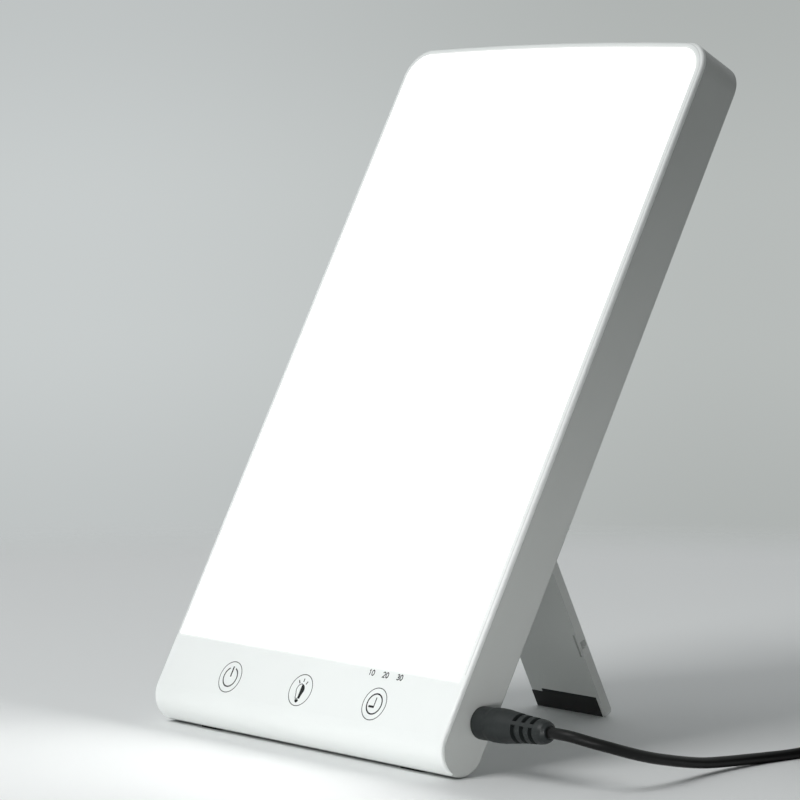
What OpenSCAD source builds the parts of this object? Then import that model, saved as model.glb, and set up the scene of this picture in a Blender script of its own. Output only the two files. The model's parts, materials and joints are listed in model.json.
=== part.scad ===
// Light therapy lamp: a thin tablet-shaped light panel that leans back on a folding leg,
// with three touch keys below the lit area and a wall adapter on a coiled low-voltage lead.
// The body is modelled upright in its own slab frame (x right, y depth from the front face,
// z up the face from the bottom end) and then leaned back by tilt.

/* [Body] */
// Height of the body along its front face
body_h = 250; // [220:1:280]
// Width of the body
body_w = 146; // [136:1:170]
// Thickness of the body
body_t = 17.8; // [17.4:0.1:20]
// Radius of the two top corners, seen from the front
corner_r = 10; // [6:0.5:14]
// Rounding of the outer edges
edge_r = 0.9; // [0.5:0.1:1.2]
// How far the top edge bows up at its middle
top_bow = 1.2; // [0.4:0.1:2.5]
// Angle that the body leans back from upright
tilt = 28; // [24:1:32]
// Thickness of the housing's walls
wall_t = 1.8; // [1.5:0.1:2]
// Thickness of the front cover
cover_t = 1.6; // [1.4:0.1:1.8]

/* [Light panel] */
// Height of the opaque key band below the lit area
band_h = 27.5; // [26:0.5:36]
// Depth of the light-emitting board's front, behind the front face
board_depth = 9.6; // [9:0.1:9.7]
// Thickness of the light-emitting board
board_t = 1.2; // [0.8:0.1:1.2]
// Number of columns of light chips
led_cols = 7; // [5:1:9]
// Number of rows of light chips
led_rows = 11; // [7:1:13]
// Side of one light chip
led_size = 3; // [2:0.5:3.5]

/* [Keys] */
// Distance between the centres of neighbouring touch keys
key_pitch = 36.7; // [32:0.1:37]
// Height of the key centres above the bottom end
key_s = 15.4; // [14.6:0.1:16]
// Diameter of the foam contact behind each key
touch_d = 9; // [6:0.5:10]

/* [Leg] */
// Width of the folding leg
leg_w = 34; // [26:1:40]
// Thickness of the leg plate
leg_t = 3.2; // [2.8:0.1:3.4]
// Angle that the leg swings out from its recess
leg_open = 53.8; // [46:0.1:58]
// Height of the hinge axis above the bottom end
hinge_s = 126.4; // [115:0.1:135]
// Radius of the hinge barrel
barrel_r = 2.5; // [2.4:0.1:2.6]
// Diameter of the hinge pin
pin_d = 2; // [1.6:0.1:2.2]
// Length of the latch slits beside the leg's edges
slit_l = 8.5; // [6:0.5:12]
// Height of the rubber pad at the leg's tip
pad_h = 6.8; // [5:0.1:9]

/* [Power inlet and plug] */
// Height of the inlet's centre above the bottom end
jack_s = 18.9; // [17.5:0.1:20]
// Depth of the inlet's centre behind the front face
jack_depth = 12.2; // [12:0.05:12.3]
// Outer diameter of the plug's metal barrel
barrel_d = 5.5; // [5.3:0.1:5.5]
// Length of the plug's metal barrel in the inlet
barrel_l = 9.5; // [8:0.5:10]
// Length of the plug's moulded body outside the lamp
plug_l = 30.8; // [29:0.1:36]
// Largest radius of the plug's moulded body
plug_r = 5.35; // [5:0.05:5.6]
// Width of the slots in the plug's strain relief
relief_slot_w = 1.7; // [1:0.1:1.8]

/* [Cord] */
// Diameter of the cord
cord_d = 3.5; // [3.2:0.1:3.5]
// Radius of the coil's innermost turn, at the cord's centre
coil_r_in = 16; // [14:0.5:18]
// Distance between neighbouring turns, and between layers
coil_pitch = 4; // [4:0.1:4.5]
// Thickness of the tie round the coil
tie_t = 0.6; // [0.4:0.1:0.6]
// Width of the tie
tie_w = 9; // [5:0.5:12]

/* [Adapter] */
// Width of the wall adapter
adapter_w = 44; // [38:1:50]
// Length of the wall adapter, along the lead
adapter_l = 64; // [56:1:76]
// Length of the adapter's strain relief
relief_l = 16; // [14:1:22]
// Length of the blades outside the adapter
blade_l = 17.5; // [15:0.5:18.5]

/* [Hidden] */
$fn = 48;
// Clearances
seam = 0.1;          // between shells that meet face to face
slip = 0.05;         // radial, of a shaft or plug in its bore
loose = 0.4;         // round the leg in its recess
stop_gap = 0.12;     // between the leg's heel and its ledge at rest
glue_gap = 0.05;     // under glued feet and pads
cut = 1;             // how far cutters run past a face
// Body
half_w = body_w / 2;
nose_r = body_t / 2;                  // the bottom end is a full round
foot_t = 0.6;                         // rubber under the lowest line of the nose
corner_x = half_w - corner_r;
corner_z = body_h - top_bow - corner_r;
bow_arm = (pow(corner_x, 2) + pow(top_bow, 2)) / (2 * top_bow);   // from the bow's centre to a corner's
bow_turn = asin(corner_x / bow_arm);
corner_steps = 9;
bow_steps = 10;
rear_reach = (body_h - edge_r - nose_r) * sin(tilt) + (nose_r - edge_r) * cos(tilt) + edge_r;
body_y = (nose_r - rear_reach) / 2;   // centres the lamp's own box on Y = 0
back_in = body_t - wall_t;            // depth of the back wall's inner face
side_in = half_w - wall_t;
cover_tip_t = 0.6;                    // thickness the cover thins to under the nose
lip_t = 1;
lip_l = 3;
// Light panel
frame_wall = 0.8;
frame_inset = wall_t + seam + lip_t + 0.3;
board_inset = frame_inset + 0.5;
board_z0 = band_h + 1.6;
board_z1 = body_h - top_bow - board_inset;
board_back = board_depth + board_t;
led_h = 0.8;
led_field_w = body_w - 32;
led_field_z0 = band_h + 15;
led_field_z1 = body_h - 18;
post_d = 6;
post_hole_d = 2;
post_hole_l = 4;
board_head_r = 2;
board_head_t = 1.3;
post_x = half_w - 22;
post_zs = [band_h + 9, (band_h + body_h) / 2, body_h - 16];
// Control board, in the band
control_depth = 4.2;
control_t = 1.2;
control_edge = 0.8;                   // bare board beyond the outer contacts
control_w = 2 * (key_pitch + touch_d / 2 + control_edge);
control_below = 9.4;                  // from the key centres down to the board's lower edge
control_above = 8.6;
control_z0 = key_s - control_below;
control_z1 = key_s + control_above;
control_mid = (control_z0 + control_z1) / 2;
stake_d = 3;
stake_edge = 2.4;                     // from the board's long edges to the stakes
stake_x = key_pitch / 2;              // midway between the keys
stake_zs = [control_z0 + stake_edge, control_z1 - stake_edge];
chip_t = 1.5;
controller_w = 7;
controller_x = -0.5;
driver_w = 6;
driver_t = 3;
driver_x = 15;
regulator_w = 5;
regulator_x = -19.5;
capacitor_d = 5;
capacitor_l = 4.5;
capacitor_x = 26;
boss_d = 6;
boss_gap = 3.5;                       // between the board's ends and the bosses
screw_x = control_w / 2 + boss_gap + boss_d / 2;
screw_z = 14;
screw_d = 3;
pilot_d = 2.4;
pilot_floor = 2;                      // solid end of the boss under its pilot hole
screw_head_d = 5.4;
screw_head_t = 1.8;
screw_sink = 3;                       // depth of the counterbore
screw_grip = 2.6;                     // housing left under the screw's head
slot_w = 0.8;
slot_l = 4;
slot_deep = 1;
boss_end = body_t - screw_sink - screw_grip;   // where the cover's bosses meet the housing's posts
// Leg and its recess
leg_in = leg_t - barrel_r;            // inner face of the plate, ahead of the hinge axis
hinge_depth = body_t - barrel_r;
leg_half = leg_w / 2;
recess_half = leg_half + 0.5;
recess_floor = hinge_depth - leg_in - loose;
tub_wall = 1.3;
heel_h = 3.4;                         // the heel stands this far past the hinge axis
heel_in = 0.9;                        // and this far behind it
heel_reach = norm([heel_h, barrel_r]);
pocket_floor = hinge_depth - barrel_r - loose;
pocket_z0 = hinge_s - barrel_r - 1.6;
pocket_z1 = hinge_s + heel_reach + loose;
ledge_z0 = hinge_s + 2.2;
ledge_depth = hinge_depth + heel_in * cos(leg_open) - heel_h * sin(leg_open) - stop_gap;
lug_w = 5;
pin_l = 2 * (recess_half + lug_w);
lean = leg_open - tilt;               // angle of the open leg from upright
pad_t = 0.8;
pad_proud = 0.15;
pad_round = 0.8;
pad_margin = 1.7;                     // bare strip of leg beside the pad
notch_w = 5.5;
notch_h = 1.2;
hinge_up = foot_t + nose_r + (hinge_s - nose_r) * cos(tilt) - (hinge_depth - nose_r) * sin(tilt);
pad_front = leg_in + pad_proud;
leg_len = (hinge_up - (pad_front - pad_round) * sin(lean) - pad_round) / cos(lean) + pad_round;
tip_short = 0.3;                      // the plate ends this far above the pad's lower end
tip_r = 2.4;                          // rounding of the tip's back edge
tip_corner_r = 1.6;                   // rounding of the tip's corners, seen from the front
slit_w = 0.9;
slit_in = 1.45;                       // from the leg's edge to the slit's centre
slit_up = 28.5;                       // from the tip to the slit's centre
dimple_r = 1.2;
dimple_deep = 0.6;
dimple_l = 2.6;
bump_high = 0.25;
bump_root = 0.3;                      // how far the bump reaches into the recess's wall
// Inlet and plug
jack_r = 3.7;
jack_l = 14;
jack_play = 0.4;                      // the inlet's bore is this much wider than the barrel, all round
collar_r = barrel_d / 2 + jack_play + 0.4;
jack_room = 1;                        // ahead of the plug's barrel in the inlet
jack_tail = 3.6;                      // length of the solder tails
jack_pin_r = 0.95;
jack_pin_in = 2.4;                    // the pin's end lies this far inside the wall's face
collar_in = 0.2;
barrel_hole_r = 1.25;
plug_lift = 1.5;                      // the plug rides up by this angle in the inlet's loose bore
plug_gap = 0.2;                       // between the plug's shoulder and the side wall
barrel_root = 7;                      // of the barrel held inside the moulding
relief_rows = [18.8, 22.4, 26];
relief_cut = 1.1;
bridge_w = 1.2;
bridge_turn = 30;
plug_end_r = 2.3;
inlet_y = body_y + (jack_s - nose_r) * sin(tilt) + (jack_depth - nose_r) * cos(tilt);
inlet_z = foot_t + nose_r + (jack_s - nose_r) * cos(tilt) - (jack_depth - nose_r) * sin(tilt);
plug_dir = [cos(plug_lift), 0, sin(plug_lift)];
plug_end = [half_w, inlet_y, inlet_z] + plug_l * plug_dir;
// Feet
foot_l = 12.4;
foot_w = 4.4;
foot_edge = 22;                       // from the body's side to a foot's middle
foot_x = half_w - foot_edge;
// Cord and coil
cord_r = cord_d / 2;
coil_side_x = 114.5;                  // where the cord joins the coil's outermost turn
coil_y = 69;
coil_turns = 2.5;                     // turns in one layer
coil_layers = 4;
tie_play = 0.4;                       // between the bundle and its tie
coil_z = tie_t + tie_play + cord_r;   // height of the lowest layer's centre
coil_r_out = coil_r_in + coil_turns * coil_pitch;
coil_rings = 24;                      // rings in one turn
coil_sides = 6;
coil_stub = 6;
tail_l = 16;
run_sides = 8;
coil_x = coil_side_x + coil_r_out;
coil_start = [coil_side_x, coil_y, coil_z];
coil_top = coil_z + (coil_layers - 1) * coil_pitch;
// Route of the cord from the plug to the coil: it droops to the surface while it turns back
run_route = [
    plug_end,
    plug_end + 4 * plug_dir,
    [112.5, -47.2, 17.3],
    [117, -43.6, 15.8],
    [119.8, -38, 13.9],
    [120.6, -31, 11.7],
    [120.2, -22.5, 9.4],
    [118.8, -13.5, 7.4],
    [117, -4, 5.5],
    [115.2, 6, 3.9],
    [113.8, 16, 3],
    [113, 26, 2.4],
    [112.8, 35, 2],
    [113.2, 44, 1.8],
    [114, 52, 2.1],
    [coil_start.x, coil_y - coil_stub - 4, coil_z],
    [coil_start.x, coil_y - coil_stub, coil_z],
];
// Adapter, lying with its blades up
adapter_x = coil_start.x;
relief_y0 = coil_y + tail_l;
adapter_y0 = relief_y0 + relief_l;
adapter_t = 2 * coil_top;
adapter_cover_t = 6;
adapter_corner = 6;
adapter_floor_r = 4;
adapter_tongue = 1;
relief_neck = 1.15;                   // wall of the strain relief where it enters the case
relief_grip = 4;                      // depth of its seat in the case
blade_gap = 12.7;                     // between the blades' centres
blade_w = 6.35;
blade_t = 1.5;
blade_taper = 1;                      // narrowing of the blades' ends
blade_y = adapter_y0 + adapter_l - 20;
blade_hole_d = 3.1;
blade_hole_in = 3.6;                  // from the blade's end to its hole's centre
blade_root = 4;
// Internal leads
lead_d = 1.3;
lead_sides = 8;

// ---- Placing and drawing helpers ----

// Leans the slab frame back and stands it on its feet.
module in_slab() {
    translate([0, body_y, foot_t + nose_r]) rotate([-tilt, 0, 0])
        translate([0, -nose_r, -nose_r]) children();
}

// Swings the leg's frame out: its origin is the hinge axis, and it hangs down z when closed.
module in_leg() {
    in_slab() translate([0, hinge_depth, hinge_s]) rotate([leg_open, 0, 0]) children();
}

// A (depth, height) profile drawn out along x, centred on x = 0.
module along_x(width) {
    rotate([90, 0, 90]) linear_extrude(width, center = true) children();
}

// An (x, height) outline drawn out in depth from y0 to y1.
module through(y0, y1) {
    translate([0, y1, 0]) rotate([90, 0, 0]) linear_extrude(y1 - y0) children();
}

// A rod along +x from x0 to x1.
module rod_x(radius, x0, x1) {
    translate([x0, 0, 0]) rotate([0, 90, 0]) cylinder(r = radius, h = x1 - x0);
}

// A rod through the depth of the slab, from y0 to y1.
module rod_y(radius, y0, y1) {
    translate([0, y1, 0]) rotate([90, 0, 0]) cylinder(r = radius, h = y1 - y0);
}

module both_sides() {
    children();
    mirror([1, 0, 0]) children();
}

// Rectangle with round corners, made of exact arcs.
module round_rect(w, h, r) {
    square([w - 2 * r, h], center = true);
    square([w, h - 2 * r], center = true);
    for (x = [-1, 1], y = [-1, 1]) translate([x * (w / 2 - r), y * (h / 2 - r)]) circle(r);
}

// Front outline of the body above the nose, drawn in by inset: straight sides,
// round top corners and a bowed top edge.
function arc_points(cx, cz, r, a0, a1, steps) =
    [for (k = [0:steps]) let (a = a0 + (a1 - a0) * k / steps) [cx + r * cos(a), cz + r * sin(a)]];
function outline(inset, foot = nose_r) = concat(
    [[inset - half_w, foot]],
    arc_points(-corner_x, corner_z, corner_r - inset, 180, 90, corner_steps),
    [for (k = [1:bow_steps - 1]) let (x = corner_x * (2 * k / bow_steps - 1))
        [x, body_h - inset - top_bow * pow(x / corner_x, 2)]],
    arc_points(corner_x, corner_z, corner_r - inset, 90, 0, corner_steps),
    [[half_w - inset, foot]]
);

// Tube swept along points, as rings of equal sides joined by triangles.
function unit(v) = v / norm(v);
function heading(p, i) = let (n = len(p) - 1) unit(
    i == 0 ? p[1] - p[0] :
    i == n ? p[n] - p[n - 1] :
    unit(p[i + 1] - p[i]) + unit(p[i] - p[i - 1]));
function ring_at(p, i, r, sides) = let (
    t = heading(p, i),
    side = unit(cross(t, [0, 0, 1])),
    up = cross(side, t)
) [for (k = [0:sides - 1]) let (a = 360 * (k + 0.5) / sides) p[i] + r * cos(a) * side + r * sin(a) * up];
module tube(p, r, sides) {
    rings = len(p);
    points = [for (i = [0:rings - 1]) each ring_at(p, i, r, sides)];
    walls = [for (i = [0:rings - 2], k = [0:sides - 1]) let (
        a = i * sides + k, b = i * sides + (k + 1) % sides)
        each [[a, b, a + sides], [b, b + sides, a + sides]]];
    near = [for (k = [1:sides - 2]) [0, k + 1, k]];
    last = (rings - 1) * sides;
    far = [for (k = [1:sides - 2]) [last, last + k, last + k + 1]];
    polyhedron(points, concat(walls, near, far));
}

// ---- Outer body: one rounded section, carried up the sides, round the nose and over the top ----

// Half section of the body from the axis of a turn out to reach, drawn as (reach, depth).
module turned_section(reach, inner = 0) {
    difference() {
        translate([0, body_t / 2]) round_rect(2 * reach, body_t, edge_r);
        translate([inner - 2 * reach, -cut]) square([2 * reach, body_t + 2 * cut]);
    }
}

module nose_solid() {
    translate([0, nose_r, nose_r]) rotate([0, 90, 0]) rotate([0, 0, -90]) rotate_extrude(angle = 180)
        difference() {
            round_rect(body_t, body_w, edge_r);
            translate([-nose_r - cut, -body_w]) square([nose_r + cut, 2 * body_w]);
        }
}

module sides_solid() {
    translate([0, nose_r, nose_r]) linear_extrude(corner_z - nose_r) round_rect(body_w, body_t, edge_r);
}

module corner_solid() {
    translate([corner_x, body_t, corner_z]) rotate([90, 0, 0])
        rotate_extrude(angle = 90 - bow_turn) turned_section(corner_r);
}

// The bowed top edge, turned about a far centre below, which meets both corners in line.
module top_solid() {
    translate([0, body_t, corner_z + top_bow - bow_arm]) rotate([90, 0, 0]) rotate([0, 0, 90 - bow_turn])
        rotate_extrude(angle = 2 * bow_turn, $fn = 720)
            turned_section(bow_arm + corner_r, bow_arm - corner_r / 2);
}

module body_solid() {
    nose_solid();
    sides_solid();
    both_sides() corner_solid();
    top_solid();
}

// Side profile of what belongs to the front cover: the front plate, and the nose's front quarter.
module cover_profile(gap = 0) {
    translate([-cut, nose_r]) square([cover_t + gap + cut, body_h]);
    // the wall thins from cover_t at the top of the nose to cover_tip_t at its lowest line
    taper = cover_t - cover_tip_t;
    difference() {
        translate([-cut, -cut]) square([nose_r + gap + cut, nose_r + cut]);
        translate([nose_r + taper, nose_r]) circle(nose_r - cover_tip_t - gap);
    }
}

// ---- Front: cover, light box and boards ----

module front_cover() {
    color("#f4f7f5") in_slab() {
        intersection() {
            body_solid();
            along_x(body_w + 2 * cut) cover_profile();
        }
        // lip that locates the cover inside the housing's walls
        through(cover_t, cover_t + lip_l) difference() {
            polygon(outline(wall_t + seam, band_h));
            polygon(outline(wall_t + seam + lip_t, band_h - cut));
        }
        // screw bosses beside the control board
        both_sides() translate([screw_x, 0, screw_z]) difference() {
            rod_y(boss_d / 2, cover_t, boss_end);
            rod_y(pilot_d / 2, cover_t + pilot_floor, boss_end + cut);
        }
        // shouldered stakes that carry the control board
        both_sides() for (z = stake_zs) translate([stake_x, 0, z]) {
            rod_y(stake_d / 2, cover_t, control_depth);
            rod_y(stake_d / 4, control_depth, control_depth + control_t + 0.8);
        }
    }
}

module reflector_frame() {
    color("#fbfcfb") in_slab() through(cover_t + seam, board_depth - seam) difference() {
        polygon(outline(frame_inset, band_h));
        polygon(outline(frame_inset + frame_wall, band_h + frame_wall));
    }
}

module led_board() {
    color("#e9ecea") in_slab() difference() {
        through(board_depth, board_back) translate([0, (board_z0 + board_z1) / 2])
            round_rect(body_w - 2 * board_inset, board_z1 - board_z0, corner_r - board_inset);
        both_sides() for (z = post_zs) translate([post_x, 0, z])
            rod_y(post_hole_d / 2 + 0.3, board_depth - cut, board_back + cut);
    }
}

module led_chips() {
    step_x = led_field_w / (led_cols - 1);
    step_z = (led_field_z1 - led_field_z0) / (led_rows - 1);
    color("#f3e2a0") in_slab() for (i = [0:led_cols - 1], j = [0:led_rows - 1])
        translate([i * step_x - led_field_w / 2, board_depth - led_h / 2, led_field_z0 + j * step_z])
            cube([led_size, led_h, led_size], center = true);
}

module board_screws() {
    color("#b9bcc0") in_slab() both_sides() for (z = post_zs) translate([post_x, 0, z]) {
        rod_y(board_head_r, board_depth - board_head_t, board_depth);
        rod_y(post_hole_d / 2 - slip, board_depth, board_back + post_hole_l - 0.5);
    }
}

module control_board() {
    color("#2f6b3f") in_slab() difference() {
        through(control_depth, control_depth + control_t)
            translate([0, (control_z0 + control_z1) / 2]) round_rect(control_w, control_z1 - control_z0, 1);
        both_sides() for (z = stake_zs) translate([stake_x, 0, z])
            rod_y(stake_d / 4 + 0.1, control_depth - cut, control_depth + control_t + cut);
    }
}

// A square component of that width and height on the board.
module chip(x, width, high) {
    translate([x - width / 2, control_depth + control_t, control_mid - width / 2])
        cube([width, high, width]);
}

module control_chips() {
    face = control_depth + control_t;
    color("#303234") in_slab() {
        chip(controller_x, controller_w, chip_t);
        chip(driver_x, driver_w, driver_t);
        chip(regulator_x, regulator_w, chip_t);
        translate([capacitor_x, 0, control_mid]) rod_y(capacitor_d / 2, face, face + capacitor_l);
    }
}

module touch_pads() {
    color("#3a3c3e") in_slab() for (i = [-1:1]) translate([i * key_pitch, 0, key_s])
        rod_y(touch_d / 2, cover_t + glue_gap, control_depth - glue_gap);
}

// ---- Internal leads, each a pair of wires ----

module lead_pair(route, apart) {
    for (k = [0, 1]) tube([for (p = route) p + k * apart], lead_d / 2, lead_sides);
}

module panel_lead() {
    face = control_depth + control_t;
    color("#c23a32") in_slab() lead_pair([
        [-30, face + 0.1, 20], [-30, face + 1.6, 20], [-30, face + 3.6, 20.6], [-30, 11, 22.4],
        [-30, 12.2, 25], [-30, 12.6, 28.5], [-30, 12.4, 31.5], [-30, 12, 33.4],
        [-30, board_back + 0.7, 34], [-30, board_back + 0.1, 34],
    ], [3, 0, 0]);
}

module jack_lead() {
    face = control_depth + control_t;
    tail_x = side_in - seam - jack_l - jack_tail;
    color("#2b2d30") in_slab() lead_pair([
        [tail_x, jack_depth - 1.2, jack_s], [tail_x - 1.6, jack_depth - 1.2, jack_s],
        [tail_x - 5, jack_depth - 1.6, jack_s + 1.6], [tail_x - 9, jack_depth - 2.4, jack_s + 2.4],
        [tail_x - 13, jack_depth - 4, jack_s + 1.4], [tail_x - 15.6, jack_depth - 5.2, jack_s],
        [tail_x - 16.4, face + 0.9, jack_s - 0.6], [tail_x - 16.4, face + 0.1, jack_s - 0.6],
    ], [0, 2.2, 0]);
}

// ---- Power inlet ----

module dc_jack() {
    x1 = side_in - seam;
    color("#1c1d1f") in_slab() translate([0, jack_depth, jack_s]) difference() {
        union() {
            rod_x(jack_r, x1 - jack_l, x1);
            rod_x(collar_r, x1 - cut, half_w - collar_in);
        }
        rod_x(barrel_d / 2 + jack_play, half_w - barrel_l - jack_room, half_w + cut);
    }
}

module jack_contacts() {
    x0 = side_in - seam - jack_l;
    color("#c9b26b") in_slab() translate([0, jack_depth, jack_s]) {
        rod_x(jack_pin_r, half_w - barrel_l - jack_room, half_w - jack_pin_in);
        for (y = [-1.2, 1]) translate([x0 - jack_tail, y - 0.25, -1]) cube([jack_tail, 0.5, 2]);
    }
}

// ---- Rear housing ----

module leg_recess() {
    // the leg's own bed, open at the bottom end
    translate([-recess_half, recess_floor, -cut])
        cube([2 * recess_half, body_t, hinge_s + cut]);
    // deeper pocket round the hinge barrel, with a ledge that the heel comes to rest on
    translate([-recess_half, pocket_floor, pocket_z0])
        cube([2 * recess_half, body_t, ledge_z0 - pocket_z0]);
    translate([-recess_half, ledge_depth, ledge_z0 - cut])
        cube([2 * recess_half, body_t, pocket_z1 - ledge_z0 + cut]);
}

module recess_tub() {
    half = recess_half + tub_wall;
    translate([-half, recess_floor - tub_wall, 0]) cube([2 * half, body_t, pocket_z1 + tub_wall]);
    translate([-half, pocket_floor - tub_wall, pocket_z0 - tub_wall])
        cube([2 * half, body_t, pocket_z1 - pocket_z0 + 2 * tub_wall]);
    // lugs that carry the hinge pin on both sides of the pocket
    both_sides() translate([recess_half, pocket_floor, hinge_s - barrel_r - 1])
        cube([lug_w, body_t, 2 * barrel_r + 2]);
}

module cavity() {
    intersection() {
        through(-cut, back_in) union() {
            polygon(outline(wall_t));
            translate([-side_in, -cut]) square([2 * side_in, nose_r + 2 * cut]);
        }
        along_x(body_w) union() {
            translate([-cut, nose_r]) square([back_in + cut, body_h]);
            translate([nose_r, nose_r]) circle(nose_r - wall_t);
            translate([-cut, -cut]) square([nose_r + cut, nose_r + cut]);
        }
    }
}

module rear_housing() {
    color("#c9ccca") in_slab() difference() {
        union() {
            difference() {
                body_solid();
                along_x(body_w + 2 * cut) cover_profile(seam);
                cavity();
            }
            intersection() {
                body_solid();
                union() {
                    recess_tub();
                    // posts for the light-emitting board
                    both_sides() for (z = post_zs) translate([post_x, 0, z])
                        rod_y(post_d / 2, board_back, back_in + 0.5);
                    // posts for the cover screws
                    both_sides() translate([screw_x, 0, screw_z])
                        rod_y(boss_d / 2 + 1, boss_end + seam, back_in + 0.5);
                }
            }
        }
        leg_recess();
        both_sides() for (z = post_zs) translate([post_x, 0, z])
            rod_y(post_hole_d / 2, board_back - cut, board_back + post_hole_l);
        both_sides() translate([screw_x, 0, screw_z]) {
            rod_y(screw_d / 2 + 0.2, boss_end - cut, body_t);
            rod_y(screw_head_d / 2 + 0.3, body_t - screw_sink, body_t + cut);
        }
        translate([0, hinge_depth, hinge_s])
            rod_x(pin_d / 2 + 0.02, -recess_half - lug_w - cut, recess_half + lug_w + cut);
        translate([0, jack_depth, jack_s]) rod_x(collar_r + 0.1, side_in - cut, half_w + cut);
    }
    // small bumps that drop into the leg's side dimples when it is folded
    color("#c9ccca") in_slab() both_sides() intersection() {
        translate([recess_half + dimple_r - bump_high, hinge_depth + leg_t / 2 - leg_in,
            hinge_s - leg_len + slit_up]) cylinder(r = dimple_r, h = dimple_l - 2 * loose, center = true);
        translate([recess_half - bump_high - cut, recess_floor, 0])
            cube([bump_high + cut + bump_root, body_t, hinge_s]);
    }
}

module cover_screws() {
    seat = body_t - screw_sink;
    color("#8b8e92") in_slab() both_sides() translate([screw_x, 0, screw_z]) {
        rod_y(pilot_d / 2 - slip, cover_t + 2 * pilot_floor, seat);
        difference() {
            rod_y(screw_head_d / 2, seat, seat + screw_head_t);
            for (a = [0, 90]) rotate([0, a, 0])
                translate([-slot_l / 2, seat + screw_head_t - slot_deep, -slot_w / 2])
                    cube([slot_l, slot_deep + cut, slot_w]);
        }
    }
}

// ---- Feet: thin rubber pads hollowed to the nose ----

module foot(x) {
    color("#1d1f20") difference() {
        translate([x, body_y, 0]) linear_extrude(nose_r) union() {
            square([foot_l - foot_w, foot_w], center = true);
            for (k = [-1, 1]) translate([k * (foot_l - foot_w) / 2, 0]) circle(foot_w / 2);
        }
        translate([0, body_y, foot_t + nose_r]) rod_x(nose_r + glue_gap, x - foot_l, x + foot_l);
    }
}

module foot_left() { foot(-foot_x); }
module foot_right() { foot(foot_x); }

// ---- Leg ----

module hinge_pin() {
    color("#a9adb1") in_slab() translate([0, hinge_depth, hinge_s])
        rod_x(pin_d / 2, -pin_l / 2, pin_l / 2);
}

// Side profile of the leg: barrel, heel and plate, with its tip rounded at the back.
module leg_profile() {
    tip_z = tip_short - leg_len;
    circle(barrel_r);
    translate([heel_in, 0]) square([barrel_r - heel_in, heel_h]);
    translate([-leg_in, tip_z + tip_r]) square([leg_t, -tip_z - tip_r]);
    translate([-leg_in, tip_z]) square([leg_t - tip_r, tip_r]);
    intersection() {
        translate([barrel_r - tip_r, tip_z + tip_r]) circle(tip_r);
        translate([-leg_in, tip_z]) square([leg_t, 2 * tip_r]);
    }
}

module leg_outline() {
    tip_z = tip_short - leg_len;
    translate([-leg_half, tip_z + tip_corner_r]) square([leg_w, -tip_z + heel_h + cut]);
    translate([tip_corner_r - leg_half, tip_z]) square([leg_w - 2 * tip_corner_r, tip_corner_r + cut]);
    for (x = [-1, 1]) translate([x * (leg_half - tip_corner_r), tip_z + tip_corner_r]) circle(tip_corner_r);
}

// The rubber pad's block, grown by gap to cut its seat.
module pad_block(gap = 0) {
    x0 = -leg_half;
    width = leg_w - pad_margin;
    translate([x0 - gap * cut / glue_gap, -leg_in - pad_proud - gap, -leg_len - gap])
        cube([width + gap + gap * cut / glue_gap, pad_t + pad_proud + 2 * gap, pad_h + 2 * gap]);
}

module stand_leg() {
    slit_z = slit_up - leg_len;
    color("#c4c7c5") in_leg() difference() {
        intersection() {
            along_x(leg_w) leg_profile();
            through(-leg_t - barrel_r, leg_t + barrel_r) leg_outline();
        }
        rod_x(pin_d / 2 + slip, -leg_half - cut, leg_half + cut);
        difference() {
            pad_block(glue_gap);
            translate([-leg_half - 2 * cut, -leg_in - cut, -leg_len + pad_h - notch_h + glue_gap])
                cube([notch_w + 2 * cut, pad_t + 2 * cut, notch_h + cut]);
        }
        both_sides() translate([leg_half - slit_in, 0, slit_z]) through(-leg_in - cut, barrel_r + cut) {
            square([slit_w, slit_l - slit_w], center = true);
            for (k = [-1, 1]) translate([0, k * (slit_l - slit_w) / 2]) circle(slit_w / 2, $fn = 24);
        }
        both_sides() translate([leg_half + dimple_r - dimple_deep, leg_t / 2 - leg_in, slit_z])
            cylinder(r = dimple_r, h = dimple_l, center = true);
    }
}

module leg_pad() {
    front = -leg_in - pad_proud;
    color("#151718") in_leg() difference() {
        pad_block();
        translate([-leg_half - cut, front - cut, -leg_len + pad_h - notch_h])
            cube([notch_w + cut, pad_t + 3 * cut, notch_h + cut]);
        // rounded lower front edge, which meets the surface
        difference() {
            translate([-leg_half - cut, front - cut, -leg_len - cut])
                cube([leg_w + 2 * cut, pad_round + cut, pad_round + cut]);
            translate([0, front + pad_round, -leg_len + pad_round]) rod_x(pad_round, -leg_w, leg_w);
        }
    }
}

// ---- Plug ----

// Half profile of the moulded plug: a short grip, then the slotted strain relief down to the cord.
function plug_profile() = [
    [0, plug_gap], [plug_r - 0.6, plug_gap], [plug_r - 0.25, plug_gap + 0.35],
    [plug_r - 0.2, 2], [plug_r - 0.2, 5.6], [plug_r, 7], [plug_r, 9.5], [plug_r - 0.1, 12],
    [plug_r - 0.45, 15], [plug_r - 1.05, 20.5], [plug_r - 1.5, plug_l - 3.4],
    [plug_r - 1.7, plug_l - 2], [plug_r - 2.1, plug_l - 0.9], [plug_end_r, plug_l], [0, plug_l],
];
function plug_r_at(x) = lookup(x, [for (p = plug_profile()) if (p.x > 0) [p.y, p.x]]);

// Places what is drawn along +x from the wall's face in line with the plug.
module on_plug() {
    translate([half_w, inlet_y, inlet_z]) rotate([0, -plug_lift, 0]) children();
}

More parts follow.
